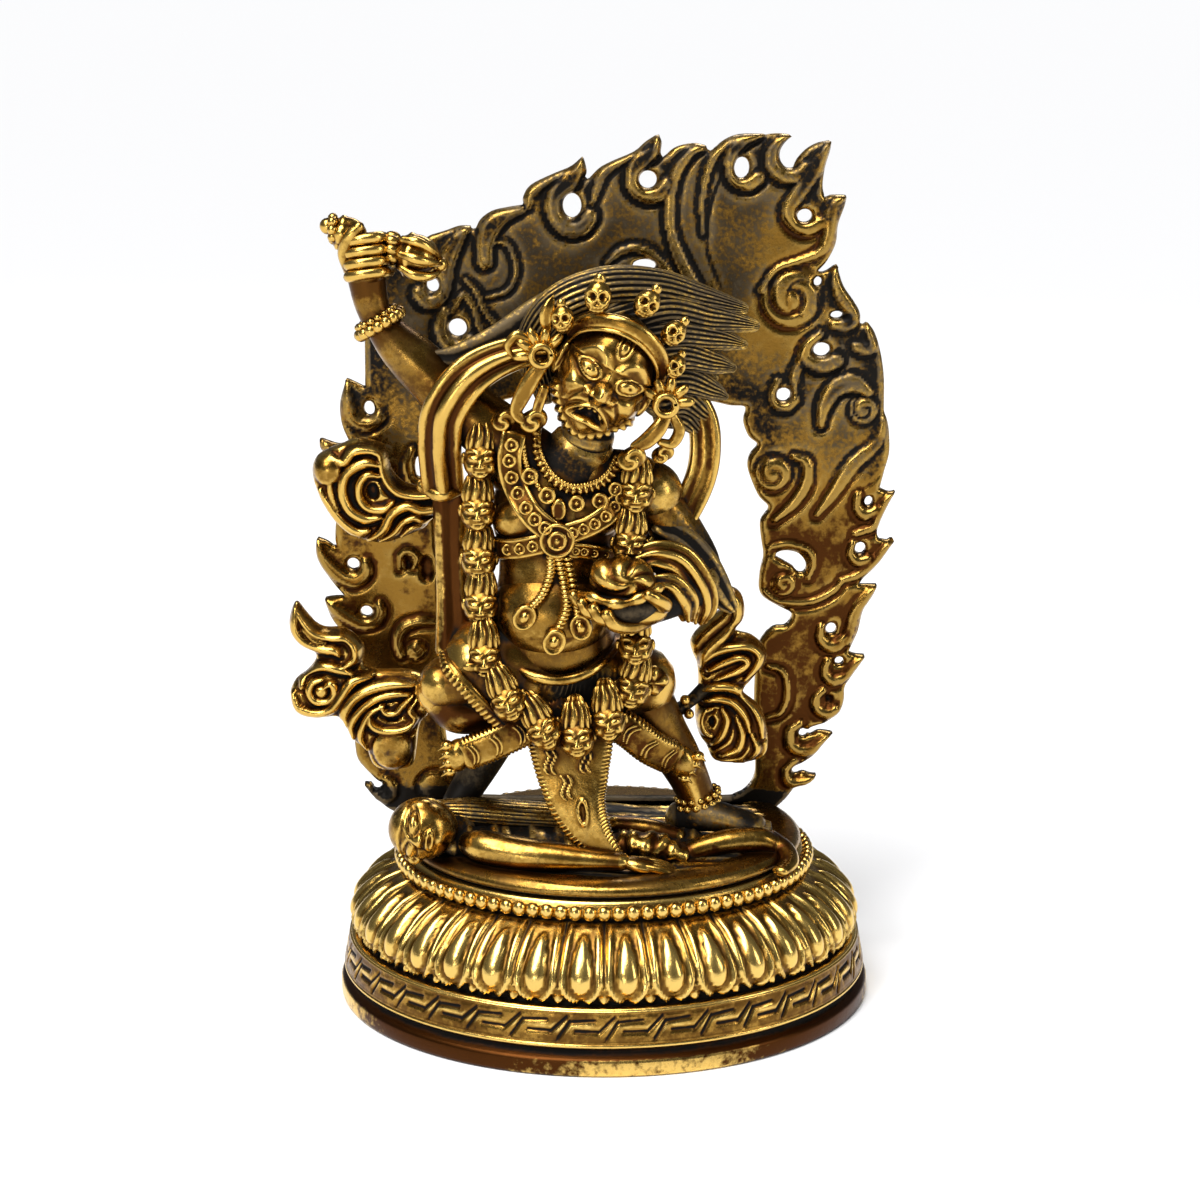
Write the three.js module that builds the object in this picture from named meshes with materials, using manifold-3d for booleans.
// Gilt cast statue of a wrathful guardian deity, who strides over a fallen foe on an oval lotus base,
// with a scarf that billows at both sides and a ring of flames standing behind.
// Millimetres, +Z up, the viewer at -Y. The origin is the middle of the base's flat underside.
import * as THREE from "three";
import { mergeVertices } from "three/addons/utils/BufferGeometryUtils.js";
import Module from "manifold-3d";

const wasm = await Module();
wasm.setup();

// Driving dimensions
const BASE_HALF_WIDTH = 65; // half the foot's width along X
const BASE_ROUNDNESS = 0.86; // the oval's depth along Y as a share of its width
const BASE_TOP = 37; // height of the flat seat that the figure and the flames stand on
const PETALS = 36;
const PETAL_RELIEF = 1.3;
const SLAB_TOP = 39.6; // top of the figure's own ground slab
const SLAB_BACK = 17.4; // the slab is cut straight here, in front of the flames' foot
const FLAME_FRONT = 18; // front face of the flame ring
const FLAME_DEPTH = 4;
const CURL_RELIEF = 1.1; // how far curls stand out of the flame ring
const FIT_GAP = 0.3; // clearance where the figure and the flames are set on the base
const HEAD_TILT = 28; // degrees that the head leans towards +X
const GILT = { color: 0xb08a3a, roughness: 0.38, metalness: 1 };

// Makes a closed solid from vertices and triangles, turned so that its faces point out.
function solidFrom(positions, index) {
  let volume = 0;
  const [a, b, c] = [new THREE.Vector3(), new THREE.Vector3(), new THREE.Vector3()];
  for (let i = 0; i < index.length; i += 3) {
    a.fromArray(positions, 3 * index[i]);
    b.fromArray(positions, 3 * index[i + 1]);
    c.fromArray(positions, 3 * index[i + 2]);
    volume += a.dot(b.cross(c));
  }
  const triVerts = new Uint32Array(index);
  if (volume < 0) triVerts.reverse();
  return new wasm.Manifold(new wasm.Mesh({ numProp: 3, vertProperties: new Float32Array(positions),
    triVerts }));
}

function solidOf(geometry) {
  geometry.deleteAttribute("normal");
  geometry.deleteAttribute("uv");
  const merged = mergeVertices(geometry, 1e-4);
  return solidFrom(merged.attributes.position.array, merged.index.array);
}

const fuse = (solids) => solids.reduce((whole, solid) => whole.add(solid));

function meshOf(name, solid) {
  const { numProp, vertProperties, triVerts } = solid.getMesh();
  const geometry = new THREE.BufferGeometry();
  const interleaved = new THREE.InterleavedBuffer(vertProperties, numProp);
  geometry.setAttribute("position", new THREE.InterleavedBufferAttribute(interleaved, 3, 0));
  geometry.setIndex(new THREE.BufferAttribute(triVerts, 1));
  const mesh = new THREE.Mesh(geometry.toNonIndexed(), new THREE.MeshStandardMaterial(GILT));
  mesh.geometry.computeVertexNormals();
  mesh.name = name;
  return mesh;
}

// Closes a stack of rings, each a list of points, with a point in front of the first and behind the last.
function skin(first, rings, last) {
  const sides = rings[0].length;
  const positions = [first, ...rings.flat(), last].flatMap((p) => [p.x, p.y, p.z]);
  const end = rings.length * sides + 1;
  const index = [];
  const at = (ring, side) => 1 + ring * sides + (side % sides);
  for (let side = 0; side < sides; side++) {
    index.push(0, at(0, side + 1), at(0, side));
    index.push(end, at(rings.length - 1, side), at(rings.length - 1, side + 1));
    for (let ring = 0; ring + 1 < rings.length; ring++) {
      index.push(at(ring, side), at(ring, side + 1), at(ring + 1, side + 1));
      index.push(at(ring, side), at(ring + 1, side + 1), at(ring + 1, side));
    }
  }
  return solidFrom(positions, index);
}

// Carries an oval along a smooth line. A station is [x, y, z, half width, half depth towards the viewer].
function sweep(stations, sides = 8, steps = 1, face = new THREE.Vector3(0, -1, 0)) {
  const line = new THREE.CatmullRomCurve3(stations.map(([x, y, z]) => new THREE.Vector3(x, y, z)));
  const sizes = new THREE.CatmullRomCurve3(
    stations.map(([, , , across, deep = across]) => new THREE.Vector3(across, deep, 0)),
  );
  const count = (stations.length - 1) * steps;
  const cap = 0.4;
  const rings = [];
  const ends = [];
  for (let i = 0; i <= count; i++) {
    const centre = line.getPoint(i / count);
    const along = line.getTangent(i / count);
    const size = sizes.getPoint(i / count);
    const toFace = face.clone().addScaledVector(along, -face.dot(along));
    if (toFace.length() < 0.3) toFace.set(0, 0, 1).addScaledVector(along, -along.z);
    toFace.normalize();
    const sideways = along.clone().cross(toFace);
    rings.push(
      Array.from({ length: sides }, (_, side) => {
        const turn = (2 * Math.PI * (side + 0.5)) / sides;
        return centre
          .clone()
          .addScaledVector(sideways, size.x * Math.cos(turn))
          .addScaledVector(toFace, size.y * Math.sin(turn));
      }),
    );
    const outwards = (i === 0 ? -cap : cap) * Math.min(size.x, size.y);
    if (i === 0 || i === count) ends.push(centre.addScaledVector(along, outwards));
  }
  return skin(ends[0], rings, ends[1]);
}

// An ellipsoid, leant by tilt degrees in the viewer's plane.
function ball([x, y, z], [rx, ry, rz], tilt = 0, across = 8, down = 6) {
  const geometry = new THREE.SphereGeometry(1, across, down).rotateX(Math.PI / 2);
  geometry.scale(rx, ry, rz).rotateY(THREE.MathUtils.degToRad(tilt)).translate(x, y, z);
  return solidOf(geometry);
}

// Extrudes an outline drawn in X and Z, from its front face at y.
function plate(outline, y, depth) {
  const geometry = new THREE.ExtrudeGeometry(outline, { depth, bevelEnabled: false, curveSegments: 2 });
  return solidOf(geometry.rotateX(Math.PI / 2).translate(0, y + depth, 0));
}

// A closed outline through a few points, rounded between them.
function roundOutline(points, share = 2) {
  const line = new THREE.CatmullRomCurve3(points.map(([x, z]) => new THREE.Vector3(x, z, 0)), true);
  return new THREE.Shape(line.getPoints(points.length * share).slice(1));
}

function disc([x, z], r, sides, y, depth) {
  const outline = Array.from({ length: sides }, (_, i) => {
    const turn = (2 * Math.PI * i) / sides;
    return new THREE.Vector2(x + r * Math.cos(turn), z + r * Math.sin(turn));
  });
  return plate(new THREE.Shape(outline), y, depth);
}

// An oval stack of rings about the Z axis, from [radius, height] steps. wave(turn, step) adds to the radius.
function ovalStack(profile, sides, wave = () => 0) {
  const rings = profile.map(([radius, z], step) =>
    Array.from({ length: sides }, (_, side) => {
      const turn = (2 * Math.PI * side) / sides;
      const r = radius + wave(turn, step);
      return new THREE.Vector3(r * Math.cos(turn), BASE_ROUNDNESS * r * Math.sin(turn), z);
    }),
  );
  const foot = new THREE.Vector3(0, 0, profile[0][1]);
  const head = new THREE.Vector3(0, 0, profile[profile.length - 1][1]);
  return skin(foot, rings, head);
}

// Lotus base

function lotusBase() {
  const R = BASE_HALF_WIDTH;
  const foot = ovalStack([[R, 0], [R, 4.2], [R - 1.7, 4.8], [R - 1.7, 6.8], [R - 0.9, 7.4],
    [R - 2.2, 15.2], [R - 4, 15.6]], 36);
  // One row of petals that bulge over the shoulder, one ridge and one valley to each petal.
  const shoulder = [[R - 6, 15], [R - 2.4, 17], [R - 3.8, 22.4], [R - 9, 28.8], [R - 16, 33]];
  const petal = (turn, step) =>
    step === 0 || step === 4 ? 0 : PETAL_RELIEF * (Math.abs(Math.cos((turn * PETALS) / 2)) - 0.5);
  const lotus = ovalStack(shoulder, PETALS * 2, petal);
  const rim = [[R - 17.6, 31.4], [R - 13.9, 33.4], [R - 13.7, 35.4], [R - 16.4, BASE_TOP]];
  return fuse([foot, lotus, ovalStack(rim, 30)]);
}

// Flame ring

const RING_OUTSIDE = [
  [-45, 37], [-56, 47], [-61, 61], [-59, 77], [-56, 92], [-58, 110], [-60, 125], [-57.5, 142], [-57.5, 158],
  [-49, 168], [-41, 176], [-33, 183], [-24, 188], [-12, 193], [0, 196], [13, 200], [28, 203], [40, 202],
  [48, 194], [53, 183], [55, 172], [61, 160], [66, 150], [68.5, 138], [68.5, 124], [65, 112], [62, 101],
  [58, 89], [57, 77], [56, 64], [50, 52], [45, 42], [41, 37],
];
const RING_INSIDE = [
  [-32, 42], [-37, 48], [-40, 61], [-39, 76], [-40, 92], [-41, 110], [-41, 123], [-36, 134], [-24, 143],
  [0, 146],
  [23, 143], [31, 141], [34, 135], [36.5, 131], [34.5, 124], [40, 114.5], [37.5, 103], [39, 95], [44, 87.5],
  [39, 79], [37.5, 64], [36.5, 50], [31, 42],
];
// Each tongue of flame: root x, root z, tip x, tip z, width at the root.
const TONGUES = [
  [-39, 173, -32, 184.5, 8], [-27, 183, -19, 190.8, 8], [-16, 186, -5, 200.8, 10], [2, 190, 13.2, 206.4, 10],
  [15, 195, 25.3, 203.2, 8], [27, 196, 37.8, 206.6, 9], [37, 198, 45, 206, 7], [46, 193, 54, 204.8, 8],
  [50, 180, 57.8, 191.7, 9], [53, 166, 56, 175.8, 7], [59, 150, 63.6, 161.2, 8], [61, 108, 71.8, 119.8, 9],
  [61, 96, 72.2, 108, 9], [56, 82, 68, 96, 10], [54, 66, 65.6, 77.8, 10], [48, 49, 57.8, 58, 9],
  [44, 40, 54, 47, 8],
  [-48, 41, -61, 45, 8], [-55, 80, -70, 92, 10], [-57, 96, -71, 108.4, 10], [-58, 124, -69.2, 133.2, 8],
  [-57, 132, -62.3, 148, 9],
];
// Each drilled hole with the curl round it: x, z, radius.
const HOLES = [
  [-41.2, 170.4, 1.6], [-35.2, 160, 2.3], [-7.8, 189.2, 2.8], [10.4, 195.4, 2.3], [32.5, 198, 2.3],
  [47.7, 187.2, 1.9],
  [51.5, 171, 1.9], [52.6, 154.6, 2.3], [43.4, 143.4, 1.8], [64.8, 117.3, 1.4], [63, 105.6, 1.6],
  [56.4, 85, 1.7],
  [58.8, 76.4, 1.4], [50, 57.6, 1.5], [-59, 89.6, 1.7], [-62, 101.6, 1.8], [-57.3, 140.4, 1.8],
  [-45, 126, 2.4],
];
const SCROLLS = [
  [44.7, 167.3, 7.2], [61.4, 140.6, 5.6], [-28, 176, 5], [43, 71.6, 4.4], [-44.5, 80, 4.6],
  [42, 98, 4.6], [42, 122, 5],
];
const EYE_HOLE = [46.4, 102.4, 7, 4.6]; // the wide slit by the lower right curl: x, z, width, height

function tongue([x, z, tipX, tipZ, width]) {
  const [along, rise] = [tipX - x, tipZ - z];
  const length = Math.hypot(along, rise);
  const [nx, nz] = [-rise / length, along / length];
  const lean = x < -42 ? -0.16 : 0.16; // tongues bow outwards, away from the ring's middle
  const at = (share, side) => [
    x + along * share + nx * (side * width * 0.5 + lean * length),
    z + rise * share + nz * (side * width * 0.5 + lean * length),
  ];
  const outline = new THREE.Shape();
  outline.moveTo(x + (nx * width) / 2, z + (nz * width) / 2);
  outline.quadraticCurveTo(...at(0.62, 1), tipX, tipZ);
  outline.quadraticCurveTo(...at(0.55, -0.5), x - (nx * width) / 2, z - (nz * width) / 2);
  return plate(outline, FLAME_FRONT + 0.4, FLAME_DEPTH - 0.8);
}

function flameRing() {
  const ring = plate(roundOutline(RING_OUTSIDE), FLAME_FRONT, FLAME_DEPTH).subtract(
    plate(roundOutline(RING_INSIDE), FLAME_FRONT - 1, FLAME_DEPTH + 2),
  );
  const curls = HOLES.map(([x, z, r]) => disc([x, z], r + 2.2, 8, FLAME_FRONT - CURL_RELIEF,
    FLAME_DEPTH + CURL_RELIEF - 0.3));
  const scrolls = SCROLLS.map(([x, z, r]) => disc([x, z], r, 8, FLAME_FRONT - CURL_RELIEF, FLAME_DEPTH));
  const drills = HOLES.map(([x, z, r]) => disc([x, z], r, 6, FLAME_FRONT - 3, FLAME_DEPTH + 6));
  const [eyeX, eyeZ, eyeWidth, eyeHeight] = EYE_HOLE;
  const eye = new THREE.Shape().absellipse(eyeX, eyeZ, eyeWidth / 2, eyeHeight / 2, 0, 2 * Math.PI,
    false, -0.5);
  const below = new THREE.BoxGeometry(160, 40, 20).translate(0, 20, BASE_TOP + FIT_GAP - 10);
  return fuse([ring, ...TONGUES.map(tongue), ...curls, ...scrolls])
    .subtract(fuse([...drills, plate(eye, FLAME_FRONT - 3, FLAME_DEPTH + 6)]))
    .subtract(solidOf(below));
}

// Figure. The stations of each sweep are [x, y, z, half width, half depth].

function groundSlab() {
  const low = BASE_TOP + FIT_GAP;
  const slab = ovalStack([
    [45.4, low], [48, low + 1.3], [46.4, SLAB_TOP + 0.9], [42, SLAB_TOP + 1.2], [34, SLAB_TOP + 0.2],
    [16, SLAB_TOP + 0.8],
  ], 24);
  const behind = new THREE.BoxGeometry(160, 60, 20).translate(0, SLAB_BACK + 30, SLAB_TOP);
  return slab.subtract(solidOf(behind));
}

function trunkAndLimbs() {
  const trunk = [
    [-7, -9, 70, 10, 8], [-9, -10, 80, 14, 10], [-12, -12, 91, 14.5, 13], [-12.2, -13, 99, 13.8, 13.5],
    [-12, -12, 109, 12.8, 11], [-11, -11, 121, 15, 10.5], [-9, -11, 130, 13.5, 9], [-5.5, -12, 137, 6.5, 6.5],
    [-3, -13, 144, 5.8, 5.8],
  ];
  const raisedArm = [
    [-13, -11, 132, 8, 7.5], [-22.9, -11, 138.5, 7.4, 7], [-31, -10, 145, 6.6, 6.4],
    [-40, -10, 153, 5.8, 5.6],
    [-51, -10, 165.8, 4, 4], [-53.4, -10, 174.2, 4.6, 4.2], [-52.8, -10.5, 183, 5, 4.6],
  ];
  const cupArm = [
    [-2, -12, 130, 7.5, 7], [8, -11, 128, 7.2, 7], [16, -10, 118, 6.4, 6.2], [22, -11, 109, 5.6, 5.8],
    [22.2, -15, 105, 4.8, 5], [16, -20.5, 103.6, 4.6, 4.6], [6, -26, 102, 5, 4.4],
  ];
  const bentThigh = [
    [-9, -9, 83, 9, 8.5], [-24, -14.5, 84.2, 8.6, 8.6], [-36.6, -18, 82.2, 6.8, 7.4],
    [-39, -17.4, 80.4, 5.4, 6.4],
  ];
  const bentShin = [
    [-37.4, -17.6, 78.6, 5.4, 6.2], [-30, -15.4, 75.4, 6.2, 6.8], [-24.8, -10, 71.5, 5.6, 6],
    [-27, -5, 62, 4.6, 4.8],
    [-33, -5.2, 52.4, 4.2, 4.4], [-37.6, -11, 44.2, 4.2, 3.4],
  ];
  const straightLeg = [
    [0, -8, 84, 9, 8.5], [8, -7.8, 77, 7.8, 7.8], [14.2, -7.2, 67, 6.2, 6.8], [20.2, -6.6, 56, 5, 5.2],
    [22.4, -7.2, 46, 4.4, 4.6],
  ];
  return [
    sweep(trunk, 10),
    ...[raisedArm, cupArm, bentThigh, bentShin, straightLeg].map((stations) => sweep(stations)),
    sweep([[19, -7, 45.2, 4.4, 4.2], [30, -9.8, 45.2, 4.6, 3.4], [41, -12, 43.8, 3.8, 2]], 6, 1,
      new THREE.Vector3(0, 0, 1)),
    ball([-53.5, -14, 181], [5.2, 3.6, 5.4], 0, 6, 5),
    ball([-4, -26, 101], [8.5, 4, 3.4], -10, 6, 4),
  ];
}

function heldThings() {
  const thunderbolt = [
    [-61.5, -12, 187.5, 3.2], [-57.5, -12, 185.5, 4.6], [-53, -12, 183.6, 2], [-47, -12, 182.2, 3],
    [-43, -12, 181, 5.4],
    [-38.5, -12, 179.8, 4.2], [-35.5, -12, 179, 1],
  ];
  const bracelet = [[-55.5, -10, 163.4, 3], [-51.5, -10, 165.8, 5.4], [-47.5, -10, 168.2, 3]];
  return [
    sweep(thunderbolt, 6),
    sweep(bracelet, 6),
    ball([4.2, -26, 107.5], [9.6, 7.4, 5.8], -8, 8, 6),
    ball([3.8, -27, 111.6], [6.6, 5.4, 3.6], 10, 6, 5),
  ];
}

// Puts a point given from the head's middle, in the head's own upright frame, onto the leaning head.
function onHead(x, y, z) {
  const lean = THREE.MathUtils.degToRad(HEAD_TILT);
  return [0.2 + x * Math.cos(lean) + z * Math.sin(lean), y, 155.2 - x * Math.sin(lean) + z * Math.cos(lean)];
}

function headAndHair() {
  const skulls = [-11.6, -6.6, 0, 6.6, 11.6].map((x, i) => {
    const drop = Math.abs(i - 2);
    return ball(onHead(x, -24 + 2.4 * drop, 17.4 - 3 * drop * drop), [3, 2.6, 3.8], HEAD_TILT + 4 * x, 5, 4);
  });
  const locks = [
    [[-7, -9, 167, 7, 6], [3, -9, 171, 8, 7], [15, -8, 171, 6.5, 5.5], [25, -7, 167.5, 3.8, 4],
      [33.5, -6, 166.4, 1]],
    [[4, -9, 163, 9, 7], [17, -8, 163, 7, 6], [27, -7, 161.5, 4.4, 4.4], [33, -6, 163, 1]],
    [[8, -9, 155, 9, 7], [18, -8, 155, 7, 5.6], [26, -7, 153.5, 3.6, 3.8], [29, -6, 151, 1]],
  ];
  const veil = [[-5, -9, 173, 4.6, 3], [-17, -9, 165, 5, 3], [-28, -9, 160, 3.6, 2.6],
    [-41.5, -9, 157.6, 1.2, 1.2]];
  const earrings = [
    [[-13, -18, 162, 4, 3], [-17, -17, 157, 3.4, 2.6], [-17.5, -16, 151, 3, 2.4],
      [-12, -15, 148.5, 3, 2.6], [-22, -13, 147.5, 2.4, 2.4]],
    [[14, -17, 152, 3.6, 3], [11, -17, 146, 2.8, 2.4], [7, -17, 139.5, 4, 3], [13, -14, 139.5, 2.6, 2.4]],
  ];
  return [
    ball([0.2, -19, 155.2], [10.6, 10.5, 15], HEAD_TILT, 8, 6),
    ball(onHead(0, -16, -12.5), [8.4, 9, 4.4], HEAD_TILT, 8, 4),
    ball(onHead(0, -28.4, -2.4), [3.2, 3, 2.8], HEAD_TILT, 6, 4),
    sweep([onHead(-9.5, -21, 9), onHead(0, -27, 14.5),
      onHead(9.5, -21, 9)].map((p) => [...p, 2.2, 2.4]), 6, 2),
    ...skulls,
    ...locks.map((stations) => sweep(stations, 5)),
    sweep(veil, 5),
    ...earrings.map((stations) => sweep(stations, 4)),
  ];
}

function scarf() {
  const bands = [
    [[-12, -12, 160, 2.6, 1.6], [-24, -15, 158.6, 3.4, 2], [-32, -17.6, 153.4, 4.4, 2.2],
      [-36.8, -18, 146, 4.6, 2.4],
      [-37.6, -12.6, 135, 4.6, 2.6], [-37, -8, 126, 4.6, 3.2], [-36, -4.6, 118, 3.8, 3.4]],
    [[19, -8, 150, 2.8, 1.8], [23.4, -8.8, 140, 3.5, 1.8], [22.4, -9.6, 129, 3.6, 1.8],
      [15.6, -12.4, 117.6, 3.6, 2], [9, -16.6, 110.6, 3.2, 2]],
  ];
  const strut = [[-36, -4, 120, 3.8, 3], [-36, -4.6, 105, 3.6, 2.8], [-35, -8, 88, 4.8, 3.2]];
  const billows = [
    [[-33, -4, 119, 3.4, 3.6], [-44, 0, 120.5, 6, 4.6], [-54, 1, 126, 8.6, 5.4],
      [-63, 1, 132, 6.4, 4.6], [-68.5, 0, 137, 1.5, 1.5]],
    [[-70, 0, 129, 1.8, 2], [-64, 0, 122, 4.4, 4.4], [-54, 0, 116.5, 5, 5], [-44, -1, 115, 4, 4],
      [-34, -3, 115.5, 3, 3]],
    [[-75.4, -5, 99, 0.8], [-72.5, -5, 92, 3, 3], [-65, -5, 87, 5, 4.6], [-56, -5, 80.5, 7.4, 5.6],
      [-49, -6, 73, 7, 5.6], [-48, -5, 63, 3.4, 3.6]],
    [[-73.5, -6, 71.5, 1.4, 1.8], [-68, -6, 78, 4.4, 4], [-57, -6, 77, 7, 5.4], [-46, -7, 82, 6.4, 5.4],
      [-37, -12, 84, 5, 5]],
    [[33.4, 2, 97, 1.2], [34.4, 2, 91.5, 2.6, 2.6], [28, 2, 85, 4.4, 4], [28, 2, 77.5, 5.4, 5],
      [31, 2, 68, 8, 5.6], [34.6, 2, 59.5, 5.4, 4.6], [36, 3, 54.5, 1.4, 1.6]],
    [[14, -5, 70, 3, 3], [22, -1, 74.5, 3, 3], [31, 1, 79.5, 7, 5], [38.6, 2, 79, 2, 2]],
  ];
  const sleeves = [
    [[12.4, -14, 118.6, 2.8, 3], [17.6, -13.6, 115.4, 4.6, 3.6], [22.6, -13.6, 109.6, 5, 3.8],
      [29, -13.4, 99.6, 1.8, 2]],
    [[8, -22, 113, 2.4, 2.6], [16, -20, 111.6, 4, 3.4], [21.6, -18, 104.6, 3.8, 3],
      [22, -16.4, 97.8, 1.4, 1.6]],
  ];
  return [
    ...bands.map((stations) => sweep(stations, 5)),
    sweep(strut, 5),
    ...billows.map((stations) => sweep(stations, 5)),
    ...sleeves.map((stations) => sweep(stations, 5)),
  ];
}

function tigerSkin() {
  const flap = [
    [-8.4, -17.4, 77, 10.6, 4.2], [-7.8, -21.6, 69, 10, 3], [-7.2, -24, 61.4, 8.4, 2],
    [-6, -25.8, 54.6, 6.6, 1.8],
    [-2.6, -27.4, 48.2, 4.8, 1.7], [2.8, -28.6, 43, 2, 1.6],
  ];
  const leftPaw = [[-9, -21, 76.8, 4, 2.4], [-20, -23.8, 72, 4, 2.2], [-29, -24.6, 68.2, 4, 2.2],
    [-36.4, -24.2, 66, 4.2, 3]];
  const rightPaw = [[0, -19, 74, 4, 2.4], [7, -19.2, 69.8, 4.2, 2.4], [15, -15.4, 63.6, 4.2, 2.6],
    [21, -13.2, 60.4, 4.2, 2.8]];
  const kilt = [[-29, -16, 87.4, 9, 9.6], [-20, -14, 85.4, 10.4, 10.2], [-9, -11.4, 82.6, 11.8, 11.8],
    [3, -9.8, 81.4, 10.4, 10.4]];
  return [sweep(flap, 6), sweep(leftPaw, 5), sweep(rightPaw, 5), sweep(kilt)];
}

// Severed heads strung on a long garland, each with a tall cap of hair: x, y, z and lean in degrees.
const GARLAND = [
  [-28.1, -16, 137, 2], [-29, -16, 124.9, 0], [-28.9, -16.4, 113.5, 1], [-28.4, -18.4, 103.2, 0],
  [-27.6, -22.4, 91.7, -2],
  [-22.7, -25.8, 82, -23], [-14.6, -26.2, 75.2, -28], [-6.4, -25.8, 73.6, -3], [0.8, -24, 77.1, -5],
  [6.8, -21.4, 83.8, 12],
  [7.2, -20.4, 94, 0], [6, -19.8, 118, 4], [7.3, -18.2, 129.4, 2],
];

function garland() {
  return GARLAND.map(([x, y, z, lean]) => ball([x, y, z], [4, 4.2, 6.4], lean, 5, 4));
}

function fallenFoe() {
  const flat = new THREE.Vector3(0, 0, 1);
  const body = [[-39, -18.6, 45.6, 5, 4.4], [-33, -17, 44, 6.4, 4.2], [-20, -14, 42.6, 9, 4.6],
    [-4, -12, 42, 9, 4], [10, -11, 41.4, 8, 3.4], [22, -13, 40.6, 6, 3]];
  const arm = [
    [-31.6, -23, 44.4, 2.8, 3], [-22, -27.8, 44.2, 4.4, 3.8], [-12, -29.4, 43.4, 4, 3.4],
    [0, -30.6, 42.6, 2.9, 2.4], [14, -31, 40.8, 3.4, 1.8],
  ];
  const leg = [[18, -19.6, 39.8, 2.8, 2.6], [29.9, -17.6, 43, 3.2, 2.9], [40.4, -15.8, 41.4, 3.2, 2.8],
    [43.6, -21.6, 39.4, 2.6, 1.8]];
  const otherLeg = [[3, -18.6, 41.4, 4.6, 3.8], [11, -19, 41.8, 5, 4], [19.4, -18.6, 40.2, 3.4, 3]];
  const hair = [[-40, -12.6, 48.6, 3, 2.8], [-22, -12, 47, 5.4, 3.8], [-4, -10.8, 45, 3.6, 2.8]];
  return [
    ball([-42.6, -22, 47.6], [7.1, 6.6, 7.7], -56, 8, 6),
    ...[body, arm, leg, otherLeg, hair].map((stations) => sweep(stations, 5, 1, flat)),
  ];
}

function deityFigure() {
  return fuse([
    groundSlab(), ...trunkAndLimbs(), ...heldThings(), ...headAndHair(), ...scarf(), ...tigerSkin(),
    ...garland(),
    ...fallenFoe(),
  ]);
}

const part = new THREE.Group();
part.add(meshOf("lotus_base", lotusBase()));
part.add(meshOf("deity_figure", deityFigure()));
part.add(meshOf("flame_aureole", flameRing()));
export default part;
